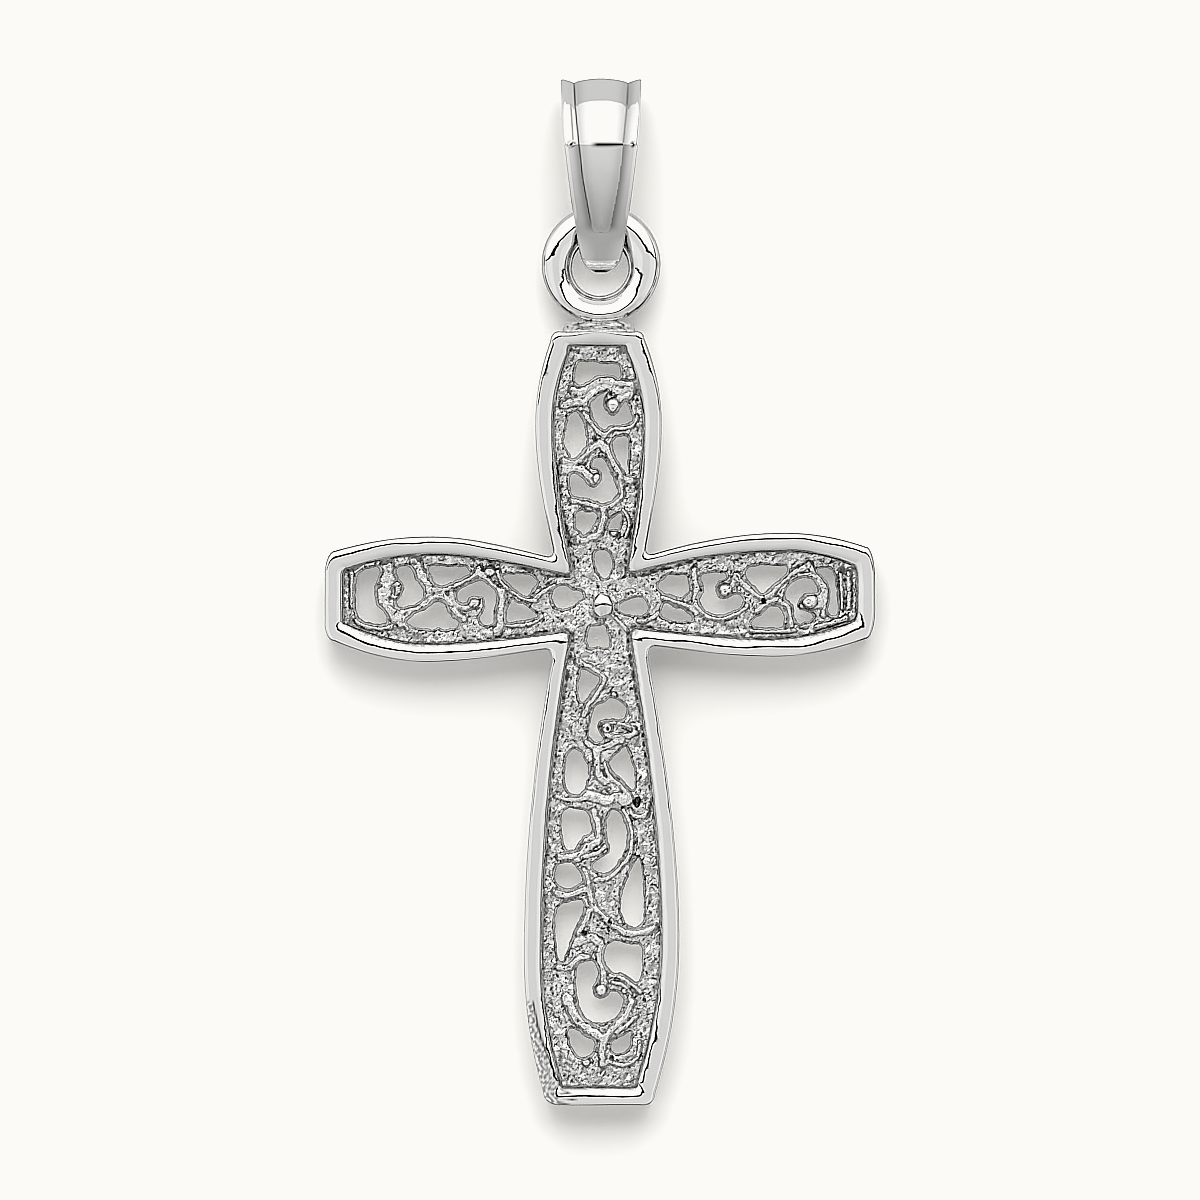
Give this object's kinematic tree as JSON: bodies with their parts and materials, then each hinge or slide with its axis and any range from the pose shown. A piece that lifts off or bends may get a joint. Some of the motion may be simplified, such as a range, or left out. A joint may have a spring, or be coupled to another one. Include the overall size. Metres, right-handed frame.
{
  "type": "cross charm",
  "caption": "Openwork cross charm in a raised polished rim, with a soldered hanging ring and a folded, tapered bail to run on a neck chain.",
  "frame": {"origin": "on the surface that the charm lies on, under the middle of the whole charm, cross and bail together", "axes": "+Z comes up out of the front of the cross; +Y runs from the foot of the cross to the bail; +X to the right arm seen from the front"},
  "size_m": [0.015, 0.028, 0.0031],
  "materials": {
    "cross_silver": "cast silver with a bright white plating, rim and ring polished, openwork left with its fine cast grain",
    "bail_silver": "bright white plating, polished"
  },
  "bodies": {
    "root": {"cross": "cross_silver", "bail": "bail_silver"}
  },
  "joints": []
}
